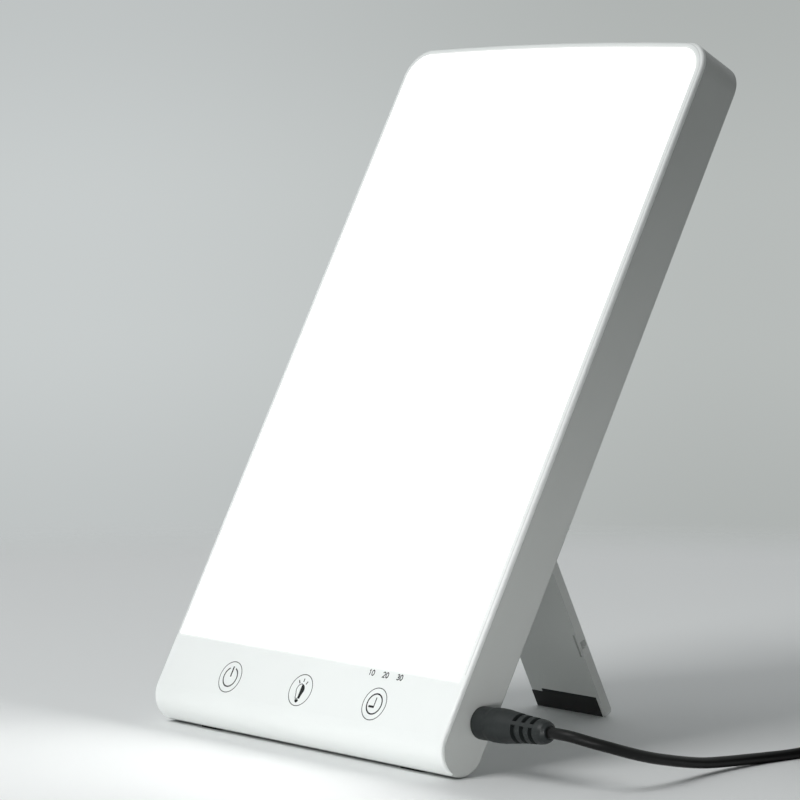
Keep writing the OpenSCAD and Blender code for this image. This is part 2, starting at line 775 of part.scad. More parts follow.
module plug_body() {
    color("#202325") on_plug() difference() {
        rotate([0, 90, 0]) rotate_extrude() polygon(plug_profile());
        rod_x(barrel_d / 2 + slip, -cut, barrel_root);
        for (x = relief_rows) rotate([-bridge_turn, 0, 0]) difference() {
            rod_x(plug_r + cut, x - relief_slot_w / 2, x + relief_slot_w / 2);
            rod_x(plug_r_at(x) - relief_cut, x - relief_slot_w, x + relief_slot_w);
            translate([x - relief_slot_w, -plug_r - cut, -bridge_w / 2])
                cube([2 * relief_slot_w, 2 * plug_r + 2 * cut, bridge_w]);
        }
    }
}

module plug_barrel() {
    color("#c8ccd0") on_plug() difference() {
        rod_x(barrel_d / 2, -barrel_l, barrel_root - slip);
        rod_x(barrel_hole_r, -barrel_l - cut, 1);
    }
}

// ---- Cord ----

module cord_run() {
    color("#1f2224") tube(run_route, cord_r, run_sides);
}

// The coil's centre line: in layer by layer from the outside to the inside and out again,
// climbing one layer in the half turn where the spiral reverses.
coil_span = coil_turns * coil_layers;
function coil_radius(t) = let (u = t % (2 * coil_turns))
    u <= coil_turns ? coil_r_out - coil_pitch * u : coil_r_out - coil_pitch * (2 * coil_turns - u);
function climb(t) = t <= -0.25 ? 0 : t >= 0.25 ? 1 : 0.5 - 0.5 * cos(180 * (t + 0.25) / 0.5);
function coil_layer(t, k = 1) = k >= coil_layers ? 0 : climb(t - k * coil_turns) + coil_layer(t, k + 1);
function coil_point(t) = [
    coil_x + coil_radius(t) * cos(180 - 360 * t),
    coil_y + coil_radius(t) * sin(180 - 360 * t),
    coil_z + coil_pitch * coil_layer(t)];
coil_path = concat(
    [coil_start - [0, coil_stub, 0], coil_start - [0, coil_stub / 2, 0]],
    [for (i = [0:coil_rings * coil_span]) coil_point(i / coil_rings)],
    [for (y = [tail_l / 2, tail_l - cord_d, tail_l]) [coil_start.x, coil_y + y, coil_top]]);

module cord_coil() {
    color("#1f2224") tube(coil_path, cord_r, coil_sides);
}

// Least gap of the coil to itself, and the cord's length, measured on the points.
function apart(i) = min([
    for (j = [i + coil_rings / 2:len(coil_path) - 1]) norm(coil_path[i] - coil_path[j])]);
coil_gap = min([for (i = [0:len(coil_path) - 1 - coil_rings / 2]) apart(i)]) - cord_d;
function path_length(p, i = 1) = i >= len(p) ? 0 : norm(p[i] - p[i - 1]) + path_length(p, i + 1);
echo(least_coil_gap = coil_gap);
echo(cord_length = path_length(run_route) + path_length(coil_path));

// Flat tie round the bundle, on the side away from the lamp.
module cord_tie() {
    inner = coil_r_in - 0.5 - cord_r - tie_play;
    outer = coil_r_out - coil_pitch / 2 + cord_r + tie_play;
    low = coil_z - cord_r - tie_play;
    high = coil_top + cord_r + tie_play;
    color("#2a2c2e") translate([coil_x, coil_y, 0]) rotate([90, 0, 0]) linear_extrude(tie_w, center = true)
        difference() {
            translate([(inner + outer) / 2, (low + high) / 2])
                round_rect(outer - inner + 2 * tie_t, high - low + 2 * tie_t, 1.4);
            translate([(inner + outer) / 2, (low + high) / 2])
                round_rect(outer - inner, high - low, 0.8);
        }
}

// ---- Wall adapter ----

module adapter_block(z0, z1, inset) {
    translate([adapter_x, adapter_y0 + adapter_l / 2, z0]) linear_extrude(z1 - z0)
        round_rect(adapter_w - 2 * inset, adapter_l - 2 * inset, adapter_corner - inset);
}

module adapter_case() {
    top = adapter_t - adapter_cover_t;
    color("#26292b") difference() {
        intersection() {
            union() {
                adapter_block(0, top - adapter_tongue, 0);
                adapter_block(top - adapter_tongue - cut, top, 0.5);
            }
            // the face that lies on the surface has rounded long edges
            translate([adapter_x, adapter_y0 + adapter_l / 2, 0]) rotate([90, 0, 0])
                linear_extrude(adapter_l + 2 * cut, center = true) translate([0, adapter_t / 2])
                    round_rect(adapter_w, adapter_t, adapter_floor_r);
        }
        translate([adapter_x, adapter_y0 - cut, coil_top]) rotate([-90, 0, 0])
            cylinder(r = cord_r + relief_neck + slip, h = relief_grip + cut);
    }
}

module adapter_cover() {
    top = adapter_t - adapter_cover_t;
    color("#26292b") difference() {
        intersection() {
            adapter_block(top + seam, adapter_t, 0);
            translate([adapter_x, adapter_y0 + adapter_l / 2, 0]) rotate([90, 0, 0])
                linear_extrude(adapter_l + 2 * cut, center = true) translate([0, adapter_t / 2])
                    round_rect(adapter_w, adapter_t, adapter_floor_r / 2);
        }
        for (k = [-1, 1]) blade(k, glue_gap);
    }
}

module blade(side, gap = 0) {
    end = blade_root + blade_l;
    translate([adapter_x + side * blade_gap / 2, blade_y, adapter_t - blade_root]) rotate([90, 0, 90])
        linear_extrude(blade_t + 2 * gap, center = true) difference() {
            union() {
                translate([-blade_w / 2 - gap, -gap])
                    square([blade_w + 2 * gap, end - 1.5 * blade_taper]);
                polygon([
                    [-blade_w / 2, end - 1.6 * blade_taper], [blade_w / 2, end - 1.6 * blade_taper],
                    [blade_w / 2 - blade_taper, end], [blade_taper - blade_w / 2, end],
                ]);
            }
            translate([0, end - blade_hole_in]) circle(gap > 0 ? 0.1 : blade_hole_d / 2);
        }
}

module adapter_blades() {
    color("#cfd2d4") for (k = [-1, 1]) blade(k);
}

module adapter_relief() {
    neck_r = cord_r + relief_neck;
    flange_r = cord_r + 2.6;
    inside = relief_l + relief_grip - 0.2;
    boot = [
        [0, 0], [cord_r + 0.5, 0], [cord_r + 0.8, 0.4], [cord_r + 2, relief_l - 1],
        [flange_r, relief_l - 0.9], [flange_r, relief_l - seam], [neck_r, relief_l - seam],
        [neck_r, inside], [0, inside],
    ];
    color("#1f2224") translate([adapter_x, relief_y0, coil_top]) rotate([-90, 0, 0]) difference() {
        rotate_extrude() polygon(boot);
        for (z = [3:3:relief_l - 3]) translate([0, 0, z]) difference() {
            cylinder(r = cord_r + 3, h = 1);
            translate([0, 0, -cut]) cylinder(r = cord_r + 0.5, h = 1 + 2 * cut);
            translate([-cord_r - 3, -0.8, -cut]) cube([2 * cord_r + 6, 1.6, 1 + 2 * cut]);
        }
    }
}

front_cover();
reflector_frame();
led_board();
led_chips();
board_screws();
control_board();
control_chips();
touch_pads();
panel_lead();
jack_lead();
dc_jack();
jack_contacts();
rear_housing();
cover_screws();
foot_left();
foot_right();
hinge_pin();
stand_leg();
leg_pad();
plug_body();
plug_barrel();
cord_run();
cord_coil();
cord_tie();
adapter_case();
adapter_cover();
adapter_blades();
adapter_relief();
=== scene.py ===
import json
import math

import bmesh
import bpy
from mathutils import Matrix, Vector


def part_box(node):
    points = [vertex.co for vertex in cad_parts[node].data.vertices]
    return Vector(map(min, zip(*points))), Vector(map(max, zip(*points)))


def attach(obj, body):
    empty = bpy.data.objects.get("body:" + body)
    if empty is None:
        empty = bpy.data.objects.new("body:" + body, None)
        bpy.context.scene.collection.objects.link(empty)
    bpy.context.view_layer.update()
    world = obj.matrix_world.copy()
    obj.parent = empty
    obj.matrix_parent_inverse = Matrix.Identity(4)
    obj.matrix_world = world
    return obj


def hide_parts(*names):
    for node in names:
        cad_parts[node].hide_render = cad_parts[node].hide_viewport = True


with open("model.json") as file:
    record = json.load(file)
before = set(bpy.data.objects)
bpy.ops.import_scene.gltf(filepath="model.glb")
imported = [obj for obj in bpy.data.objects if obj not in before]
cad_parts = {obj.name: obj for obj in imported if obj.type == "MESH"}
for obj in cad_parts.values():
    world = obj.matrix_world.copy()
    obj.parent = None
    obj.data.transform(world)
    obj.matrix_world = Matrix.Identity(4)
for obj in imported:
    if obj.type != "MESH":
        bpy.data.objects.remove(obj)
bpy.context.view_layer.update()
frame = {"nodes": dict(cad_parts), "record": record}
MM = 0.001

# ---- The lamp's own sizes, in millimetres, as its source has them ----
BODY_W, BODY_T = 146, 17.8
TILT = math.radians(28)
NOSE_R = BODY_T / 2
FOOT_T = 0.6
BAND_H = 27.5
KEY_PITCH, KEY_S = 36.7, 15.4
CORD_D = 3.5
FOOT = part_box("foot_left")
BODY_Y = (FOOT[0].y + FOOT[1].y) / 2 / MM


def slab_matrix():
    """Takes (x, depth, height up the face) in millimetres to the row frame in metres."""
    lift = Matrix.Translation((0, BODY_Y, FOOT_T + NOSE_R))
    lean = Matrix.Rotation(-TILT, 4, "X")
    back = Matrix.Translation((0, -NOSE_R, -NOSE_R))
    return Matrix.Scale(MM, 4) @ lift @ lean @ back


SLAB = slab_matrix()

# ---- Camera ----
AZIMUTH, PITCH = math.radians(49.811), math.radians(4.181)
LENS, SENSOR_W = 160.87, 36
CLIP = 0.05, 20
EYE = Vector((0.88259, -0.76482, 0.19454))


def make_camera():
    data = bpy.data.cameras.new("camera")
    data.lens, data.sensor_width = LENS, SENSOR_W
    data.clip_start, data.clip_end = CLIP
    cam = bpy.data.objects.new("camera", data)
    ahead = Vector((
        -math.sin(AZIMUTH) * math.cos(PITCH),
        math.cos(AZIMUTH) * math.cos(PITCH),
        -math.sin(PITCH),
    ))
    cam.location = EYE
    cam.rotation_mode = "QUATERNION"
    cam.rotation_quaternion = ahead.to_track_quat("-Z", "Y")
    bpy.context.collection.objects.link(cam)
    bpy.context.scene.camera = cam


make_camera()


# ---- Node-based materials ----

NOISE_RANGE = 0.3, 0.7    # nearly all of a noise's values lie between these


class Nodes:
    """A node tree, with short names for the nodes that are used here."""

    def __init__(self, tree):
        self.tree = tree

    def link(self, a, b):
        self.tree.links.new(a, b)

    def put(self, value, socket):
        if isinstance(value, bpy.types.NodeSocket):
            self.link(value, socket)
        else:
            socket.default_value = value

    def where(self):
        """Position in the row frame, in metres."""
        return self.tree.nodes.new("ShaderNodeTexCoord").outputs["Object"]

    def math(self, op, a, b=0.0):
        node = self.tree.nodes.new("ShaderNodeMath")
        node.operation = op
        self.put(a, node.inputs[0])
        self.put(b, node.inputs[1])
        return node.outputs[0]

    def noise(self, scale, detail=2, roughness=0.5):
        node = self.tree.nodes.new("ShaderNodeTexNoise")
        node.inputs["Scale"].default_value = scale
        node.inputs["Detail"].default_value = detail
        node.inputs["Roughness"].default_value = roughness
        self.link(self.where(), node.inputs["Vector"])
        return node.outputs["Fac"]

    def span(self, value, low, high, to_low=0.0, to_high=1.0, smooth=False):
        node = self.tree.nodes.new("ShaderNodeMapRange")
        node.interpolation_type = "SMOOTHSTEP" if smooth else "LINEAR"
        for k, v in zip((1, 2, 3, 4), (low, high, to_low, to_high)):
            node.inputs[k].default_value = v
        self.link(value, node.inputs[0])
        return node.outputs[0]

    def drift(self, scale, detail, low, high):
        """A value that wanders between low and high over the surface."""
        return self.span(self.noise(scale, detail), *NOISE_RANGE, low, high)

    def blend(self, fac, a, b):
        """One colour passing into another."""
        node = self.tree.nodes.new("ShaderNodeMix")
        node.data_type = "RGBA"
        self.put(fac, node.inputs["Factor"])
        self.put(a, node.inputs[6])
        self.put(b, node.inputs[7])
        return node.outputs[2]

    def mix(self, fac, a, b):
        """One shader passing into another."""
        node = self.tree.nodes.new("ShaderNodeMixShader")
        for k, value in enumerate((fac, a, b)):
            self.link(value, node.inputs[k])
        return node.outputs[0]


class Shader(Nodes):
    """A new material's node tree, round one Principled shader."""

    def __init__(self, name):
        self.mat = bpy.data.materials.new(name)
        self.mat.use_nodes = True
        super().__init__(self.mat.node_tree)
        self.tree.nodes.clear()
        self.out = self.tree.nodes.new("ShaderNodeOutputMaterial")
        self.bsdf = self.tree.nodes.new("ShaderNodeBsdfPrincipled")
        self.link(self.bsdf.outputs[0], self.out.inputs[0])

    def bump(self, height, distance):
        node = self.tree.nodes.new("ShaderNodeBump")
        node.inputs["Strength"].default_value = 1.0
        node.inputs["Distance"].default_value = distance
        self.link(height, node.inputs["Height"])
        self.link(node.outputs[0], self.bsdf.inputs["Normal"])

    def set(self, **sockets):
        for key, value in sockets.items():
            self.put(value, self.bsdf.inputs[key.replace("_", " ")])


def rgba(r, g=None, b=None):
    return (r, r if g is None else g, r if b is None else b, 1.0)


def shade(color, factor):
    return tuple(c * factor for c in color[:3]) + (1.0,)


ROUGH_DRIFT = 0.06
HOLLOW_SHADE = 0.2        # painted shade: how much of the colour is left in a hollow


def moulded(name, color, rough, grain=2600, depth=0.00002, vary=0.03, spec=0.5, painted_hollow_shade=None):
    """Moulded plastic: a fine grain, a faint drift in colour and gloss, and painted shade where it is
    hollow.
    """
    s = Shader(name)
    tone = s.blend(s.noise(18, 3), shade(color, 1 - vary), shade(color, 1 + vary))
    if painted_hollow_shade:
        # painted shade: the colour darkens towards HOLLOW_SHADE where the mask is set
        tone = s.blend(painted_hollow_shade(s), tone, shade(color, HOLLOW_SHADE))
    s.set(Base_Color=tone)
    s.set(Roughness=s.drift(60, 4, rough - ROUGH_DRIFT, rough + ROUGH_DRIFT))
    s.set(Specular_IOR_Level=spec)
    s.bump(s.noise(grain, 3, 0.6), depth)
    return s.mat


def metal(name, color, rough):
    """Plated metal: fine brush marks, and a faint drift in colour and gloss."""
    s = Shader(name)
    s.set(Metallic=1.0)
    s.set(Base_Color=s.blend(s.noise(300, 2), shade(color, 0.92), shade(color, 1.0)))
    s.set(Roughness=s.drift(900, 3, rough - 0.06, rough + 0.08))
    s.bump(s.noise(4000, 2), 0.000008)
    return s.mat


def local_axes(s, placing):
    """The shaded point, in metres, in the axes that placing puts into the row frame."""
    move = s.tree.nodes.new("ShaderNodeMapping")
    move.vector_type = "POINT"
    inverse = (placing @ Matrix.Scale(1 / MM, 4)).inverted()
    move.inputs["Location"].default_value = inverse.translation
    move.inputs["Rotation"].default_value = inverse.to_euler()
    s.link(s.where(), move.inputs["Vector"])
    split = s.tree.nodes.new("ShaderNodeSeparateXYZ")
    s.link(move.outputs[0], split.inputs[0])
    return split.outputs


# ---- Cover: a white moulding whose panel is lit ----
PANEL_HALF_W = 70.4
PANEL_LEFT = 0.4          # the lit area lies this much to the left of the middle
PANEL_TOP = 247.5
PANEL_BOW, BOW_AT = 1.2, 63   # drop of the lit area's top edge, at this distance from its middle
PANEL_R = 8.2
PANEL_SOFT = 0.5
FACE_IN, FACE_OUT = 0.6, 0.3  # depths between which a surface stops being the front face
GLOW = 5
PAINTED_GLOW = 0.01            # painted glow over all the white moulding, which lifts its shade; in part it stands for light the translucent plastic carries past the lit area
PAINTED_HALO, HALO_W = 0.2, 1.4   # painted glow added right beside that area, and how far that reaches
STEP_AT, STEP_W = 2, 0.6  # grey line of painted shade for a fine step in the moulding round the lit area
STEP_FROM = 2             # which starts this far above the key band
PAINTED_NOSE_GLOW = 0.07       # painted glow under the rounded bottom end, which lifts the shade there; in part it stands for light that the thin wall there carries
COVER_WHITE = rgba(0.76, 0.785, 0.77), rgba(0.78, 0.805, 0.79)
COVER_ROUGH = 0.38, 0.46
STEP_SHADE_GREY = rgba(0.56, 0.58, 0.57)
LIT_BASE, LIT_COLOR = rgba(0.9), rgba(1.0, 1.0, 0.992)


def panel_gap(s, x, high):
    """Distance in metres from the lit area's edge, below 0 inside. Its top corners are round."""
    mid, half = (BAND_H + PANEL_TOP) / 2 * MM, (PANEL_TOP - BAND_H) / 2 * MM
    above = s.math("GREATER_THAN", high, mid)
    bow = s.math("MULTIPLY", s.math("MULTIPLY", x, x), PANEL_BOW / BOW_AT ** 2 / MM)
    high = s.math("ADD", high, s.math("MULTIPLY", above, bow))
    r = s.math("MULTIPLY", above, PANEL_R * MM)
    x = s.math("ADD", x, PANEL_LEFT * MM)
    dx = s.math("SUBTRACT", s.math("ABSOLUTE", x), PANEL_HALF_W * MM)
    dz = s.math("SUBTRACT", s.math("ABSOLUTE", s.math("SUBTRACT", high, mid)), half)
    qx, qz = s.math("ADD", dx, r), s.math("ADD", dz, r)
    px, pz = s.math("MAXIMUM", qx, 0.0), s.math("MAXIMUM", qz, 0.0)
    reach = s.math("SQRT", s.math("ADD", s.math("MULTIPLY", px, px), s.math("MULTIPLY", pz, pz)))
    inside = s.math("MINIMUM", s.math("MAXIMUM", qx, qz), 0.0)
    return s.math("SUBTRACT", s.math("ADD", reach, inside), r)


def cover_material():
    s = Shader("cover_plastic")
    x, depth, high = local_axes(s, SLAB)
    gap = panel_gap(s, x, high)
    face = s.span(depth, FACE_IN * MM, FACE_OUT * MM)
    lit = s.math("MULTIPLY", s.span(gap, PANEL_SOFT * MM, -PANEL_SOFT * MM, smooth=True), face)
    # painted glow on the white moulding right beside the lit area
    beside = s.math("MULTIPLY", s.span(gap, HALO_W * MM, 0, 0, PAINTED_HALO, smooth=True), face)
    # painted glow under the rounded bottom end, lifting the shade there
    under = s.span(high, NOSE_R * MM, 0, 0, PAINTED_NOSE_GLOW, smooth=True)
    # the painted glows, plus a painted glow over all the white moulding that lifts its shade
    glow_painted = s.math("ADD", s.math("ADD", beside, under), PAINTED_GLOW)
    white = s.blend(s.noise(25, 2), *COVER_WHITE)
    # painted shade: a grey line round the lit area that stands in for the shade of a fine step in the
    # moulding
    off = s.math("ABSOLUTE", s.math("SUBTRACT", gap, STEP_AT * MM))
    above = s.math("GREATER_THAN", high, (BAND_H + STEP_FROM) * MM)
    step = s.math("MULTIPLY", s.span(off, STEP_W / 2 * MM, 0), above)
    white = s.blend(step, white, STEP_SHADE_GREY)
    s.set(Base_Color=s.blend(lit, white, LIT_BASE))
    s.set(Roughness=s.drift(50, 3, *COVER_ROUGH))
    s.set(Emission_Color=LIT_COLOR)
    s.set(Emission_Strength=s.math("ADD", s.math("MULTIPLY", lit, GLOW), glow_painted))
    s.bump(s.noise(2200, 2), 0.000006)
    return s.mat


# ---- Leg: painted shade in its slits and in the dimples in its edges ----
HINGE_S, HINGE_DEPTH, LEG_OPEN = 126.4, 15.3, math.radians(53.8)
LEG_FRAME = SLAB @ Matrix.Translation((0, HINGE_DEPTH, HINGE_S)) @ Matrix.Rotation(LEG_OPEN, 4, "X")
LEG_HALF, LEG_MID = 17, 0.9
SLIT_X, SLIT_W, SLIT_L, SLIT_Z = LEG_HALF - 1.45, 0.9, 8.5, -93.83
SLIT_SIDE = 0.06          # the slit's shade reaches this far past its sides
DIMPLE_X, DIMPLE_R, DIMPLE_L = LEG_HALF + 0.6, 1.2, 2.6
DIMPLE_RIM = 1.12, 1.02   # squared shares of its radius where the dimple's shade starts and is full
DIMPLE_END = 0.2          # and how far from its ends that shade stops
SLIT_SHADE, DIMPLE_SHADE = 0.3, 0.5


def within(s, value, middle, reach):
    """1 where the value, in metres, is within reach of the middle, both in millimetres."""
    off = s.math("ABSOLUTE", s.math("SUBTRACT", value, middle * MM))
    return s.math("LESS_THAN", off, reach * MM)


def leg_painted_shade(s):
    """How much of HOLLOW_SHADE, the painted shade, the leg takes on in its slits and its dimples."""
    across, depth, up = local_axes(s, LEG_FRAME)
    aside = s.math("ABSOLUTE", across)
    slit = within(s, aside, SLIT_X, SLIT_W / 2 + SLIT_SIDE)
    slit = s.math("MULTIPLY", slit, within(s, up, SLIT_Z, SLIT_L / 2))
    slit = s.math("MULTIPLY", slit, SLIT_SHADE)
    round_x = s.math("DIVIDE", s.math("SUBTRACT", aside, DIMPLE_X * MM), DIMPLE_R * MM)
    round_y = s.math("DIVIDE", s.math("SUBTRACT", depth, LEG_MID * MM), DIMPLE_R * MM)
    apart = s.math("ADD", s.math("MULTIPLY", round_x, round_x), s.math("MULTIPLY", round_y, round_y))
    dimple = s.span(apart, *DIMPLE_RIM, 0, DIMPLE_SHADE)
    dimple = s.math("MULTIPLY", dimple, within(s, up, SLIT_Z, DIMPLE_L / 2 - DIMPLE_END))
    return s.math("MAXIMUM", slit, dimple)


# ---- Finish of every node, by the record's material slots ----
HOUSING = rgba(0.508, 0.526, 0.512)
HOUSING_ROUGH = 0.52

MATERIALS = {
    "cover_white": cover_material(),
    "housing_grey": moulded("housing_plastic", HOUSING, HOUSING_ROUGH),
    "reflector_white": moulded("reflector_plastic", rgba(0.86), 0.4),
    "board_white": moulded("white_solder_mask", rgba(0.8, 0.82, 0.81), 0.3, 900, 0.000008),
    "board_green": moulded("green_solder_mask", rgba(0.03, 0.16, 0.06), 0.3, 900, 0.000008, 0.12),
    "chip_yellow": moulded("phosphor", rgba(0.85, 0.7, 0.2), 0.35, 5000, 0.000008, 0.08),
    "chip_black": moulded("chip_resin", rgba(0.02), 0.55, 5000),
    "wire_red": moulded("red_insulation", rgba(0.5, 0.03, 0.02), 0.4, 3000, 0.000008, 0.08),
    "wire_black": moulded("black_insulation", rgba(0.018), 0.5, 1800, 0.00003, 0.1),
    "inlet_black": moulded("inlet_plastic", rgba(0.015, 0.016, 0.017), 0.42, 3600, 0.00001, 0.1),
    "contact_metal": metal("contact_plating", rgba(0.83, 0.66, 0.32), 0.28),
    "foam_dark": moulded("foam", rgba(0.05), 0.9, 1500, 0.0003, 0.2),
    "screw_steel": metal("zinc_plating", rgba(0.6, 0.61, 0.62), 0.32),
    "pin_steel": metal("pin_steel", rgba(0.66, 0.67, 0.68), 0.22),
    "rubber_black": moulded("rubber", rgba(0.007, 0.008, 0.008), 0.8, 1500, 0.00004, 0.15),
    "plug_black": moulded("plug_plastic", rgba(0.012, 0.015, 0.015), 0.5, 2600, 0.00002, 0.12, 0.35),
    "cord_black": moulded("cord_jacket", rgba(0.004, 0.0042, 0.0041), 0.4, 1600, 0.000015, 0.12, 0.2),
    "barrel_nickel": metal("nickel", rgba(0.75, 0.74, 0.71), 0.16),
    "adapter_black": moulded("adapter_plastic", rgba(0.02, 0.021, 0.022), 0.55, 1700, 0.00005, 0.12),
    "blade_nickel": metal("blade_nickel", rgba(0.7, 0.69, 0.66), 0.26),
}
OWN_MATERIALS = {
    # painted light: the leg takes the housing's plastic 4 % lighter, which lifts the shade it lies in
    "stand_leg": moulded("leg_plastic", shade(HOUSING, 1.04), HOUSING_ROUGH, painted_hollow_shade=leg_painted_shade),
}


def dress_nodes():
    for entry in frame["record"]["subparts"]:
        mesh = frame["nodes"][entry["node"]].data
        mesh.materials.clear()
        mesh.materials.append(OWN_MATERIALS.get(entry["node"], MATERIALS[entry["material_slot"]]))


dress_nodes()


# ---- Pieces made here ----

def new_piece(name, mesh, material, body="root"):
    piece = bpy.data.objects.new(name, mesh)
    bpy.context.collection.objects.link(piece)
    mesh.materials.append(material)
    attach(piece, body)
    return piece


# ---- Cord: one tube from the plug round to the adapter, along the route that the source has ----
JACK_S, JACK_DEPTH = 18.9, 12.2
PLUG_LIFT = math.radians(1.5)
PLUG_L = 30.8
PLUG_DIR = Vector((math.cos(PLUG_LIFT), 0, math.sin(PLUG_LIFT)))
PLUG_START = SLAB @ Vector((BODY_W / 2, JACK_DEPTH, JACK_S)) / MM
PLUG_END = PLUG_START + PLUG_L * PLUG_DIR
COIL_SIDE = (114.5, 69)
COIL_Z = 2.75
COIL_R_IN, COIL_TURNS, COIL_LAYERS, COIL_PITCH = 16, 2.5, 4, 4
COIL_R_OUT = COIL_R_IN + COIL_TURNS * COIL_PITCH
COIL_STUB, TAIL_L = 6, 16
ROUTE_STEPS = 5           # pieces of cord between two points of the route
ROUTE = [
    PLUG_END,
    PLUG_END + 4 * PLUG_DIR,
    (112.5, -47.2, 17.3),
    (117, -43.6, 15.8),
    (119.8, -38, 13.9),
    (120.6, -31, 11.7),
    (120.2, -22.5, 9.4),
    (118.8, -13.5, 7.4),
    (117, -4, 5.5),
    (115.2, 6, 3.9),
    (113.8, 16, 3),
    (113, 26, 2.4),
    (112.8, 35, 2),
    (113.2, 44, 1.8),
    (114, 52, 2.1),
    (COIL_SIDE[0], COIL_SIDE[1] - COIL_STUB - 4, COIL_Z),
    (COIL_SIDE[0], COIL_SIDE[1] - COIL_STUB, COIL_Z),
]


def coil_radius(t):
    u = t % (2 * COIL_TURNS)
    return COIL_R_OUT - COIL_PITCH * (u if u <= COIL_TURNS else 2 * COIL_TURNS - u)


def coil_height(t):
    def climb(v):
        return 0.5 - 0.5 * math.cos(math.pi * min(max((v + 0.25) / 0.5, 0), 1))
    return COIL_Z + COIL_PITCH * sum(climb(t - k * COIL_TURNS) for k in range(1, COIL_LAYERS))


def coil_points(per_turn=36):
    centre_x = COIL_SIDE[0] + COIL_R_OUT
    points = []
    for i in range(int(per_turn * COIL_TURNS * COIL_LAYERS) + 1):
        t = i / per_turn
        a = math.pi - 2 * math.pi * t
        r = coil_radius(t)
        points.append((centre_x + r * math.cos(a), COIL_SIDE[1] + r * math.sin(a), coil_height(t)))
    return points


def smooth_path(points, steps):
    """Catmull-Rom spline through the points, with that many steps between neighbours."""
    p = [Vector(q) for q in points]
    p = [2 * p[0] - p[1]] + p + [2 * p[-1] - p[-2]]
    path = []
    for a, b, c, d in zip(p, p[1:], p[2:], p[3:]):
        for k in range(steps):
            t = k / steps
            path.append(0.5 * ((2 * b) + (c - a) * t + (2 * a - 5 * b + 4 * c - d) * t * t
                               + (3 * b - a - 3 * c + d) * t ** 3))
    return path + [p[-2]]


def tube_mesh(name, path, radius, sides=20):
    bm = bmesh.new()
    rings = []
    side = Vector((0, 0, 1))
    for i, p in enumerate(path):
        ahead = (path[min(i + 1, len(path) - 1)] - path[max(i - 1, 0)]).normalized()
        side = (side - ahead * side.dot(ahead)).normalized()
        up = ahead.cross(side)
        rings.append([bm.verts.new(p + radius * (math.cos(a) * side + math.sin(a) * up))
                      for a in (2 * math.pi * k / sides for k in range(sides))])
    for a, b in zip(rings, rings[1:]):
        for k in range(sides):
            bm.faces.new((a[k], a[(k + 1) % sides], b[(k + 1) % sides], b[k]))
    bm.faces.new(reversed(rings[0]))
    bm.faces.new(rings[-1])
    bmesh.ops.recalc_face_normals(bm, faces=bm.faces)
    mesh = bpy.data.meshes.new(name)
    bm.to_mesh(mesh)
    bm.free()
    for face in mesh.polygons:
        face.use_smooth = len(face.vertices) == 4
    return mesh


def cord_path():
    """The cord's middle line, in metres: the route, the coil and the tail into the adapter."""
    top = coil_height(COIL_TURNS * COIL_LAYERS)
    tail = [(COIL_SIDE[0], COIL_SIDE[1] + y, top) for y in (4, 8, 12, TAIL_L)]
    wound = [ROUTE[-2], ROUTE[-1]] + coil_points() + tail
    return [p * MM for p in smooth_path(ROUTE[:-1], ROUTE_STEPS)[:-1] + [Vector(p) for p in wound]]


def make_cord():
    path = cord_path()
    mesh = tube_mesh("power_cord", path, CORD_D / 2 * MM)
    cord = new_piece("power_cord", mesh, MATERIALS["cord_black"], "root")
    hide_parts("cord_run", "cord_coil")


make_cord()


# ---- Prints on the key band ----

PRINT_OUT, PRINT_IN = -0.02, 0.01
RING_R = 5.32
HAIRLINE = 0.29


def print_mesh(name, outlines, placing=SLAB, near=PRINT_OUT, far=PRINT_IN):
    """Thin solid print on a face, from closed (x, height) outlines in millimetres."""
    bm = bmesh.new()
    corners = {}

    def corner(x, z):
        key = (round(x, 4), round(z, 4))
        if key not in corners:
            corners[key] = [bm.verts.new((x, y, z)) for y in (near, far)]
        return corners[key]

    for outline in outlines:
        pairs = [corner(x, z) for x, z in outline]
        bm.faces.new([front for front, back in pairs])
        bm.faces.new([back for front, back in reversed(pairs)])
    back_of = dict(corners.values())
    for edge in [e for e in bm.edges if len(e.link_faces) == 1 and e.verts[0] in back_of]:
        a, b = edge.verts
        bm.faces.new((a, b, back_of[b], back_of[a]))
    bm.normal_update()
    bmesh.ops.triangulate(bm, faces=[f for f in bm.faces if len(f.verts) > 4])
    bmesh.ops.recalc_face_normals(bm, faces=bm.faces)
    mesh = bpy.data.meshes.new(name)
    bm.to_mesh(mesh)
    bm.free()
    mesh.transform(placing)
    return mesh


def arc(cx, cz, rx, a0, a1, steps=48, rz=None):
    """Points along a circle's or an ellipse's arc, from angle a0 to a1 in degrees."""
    turns = [math.radians(a0 + (a1 - a0) * k / steps) for k in range(steps + 1)]
    return [(cx + rx * math.cos(a), cz + (rz or rx) * math.sin(a)) for a in turns]


def line(points, width):
    """A line through the points, as four-sided outlines that meet in mitred corners."""
    p = [Vector(q) for q in points]
    closed = (p[0] - p[-1]).length < 1e-6
    sides = []
    for i, q in enumerate(p):
        before = p[i - 1] if i else (p[-2] if closed else None)
        after = p[i + 1] if i + 1 < len(p) else (p[1] if closed else None)
        steps = [(b - a).normalized() for a, b in ((before, q), (q, after)) if a and b]
        ahead = sum(steps, Vector((0, 0))).normalized()
        out = Vector((-ahead.y, ahead.x)) * width / 2 / max(ahead.dot(steps[0]), 0.5)
        sides.append((q + out, q - out))
    return [[a[0], b[0], b[1], a[1]] for a, b in zip(sides, sides[1:])]


def ring(x, z, r, width=HAIRLINE):
    return line(arc(x, z, r, 0, 360), width)


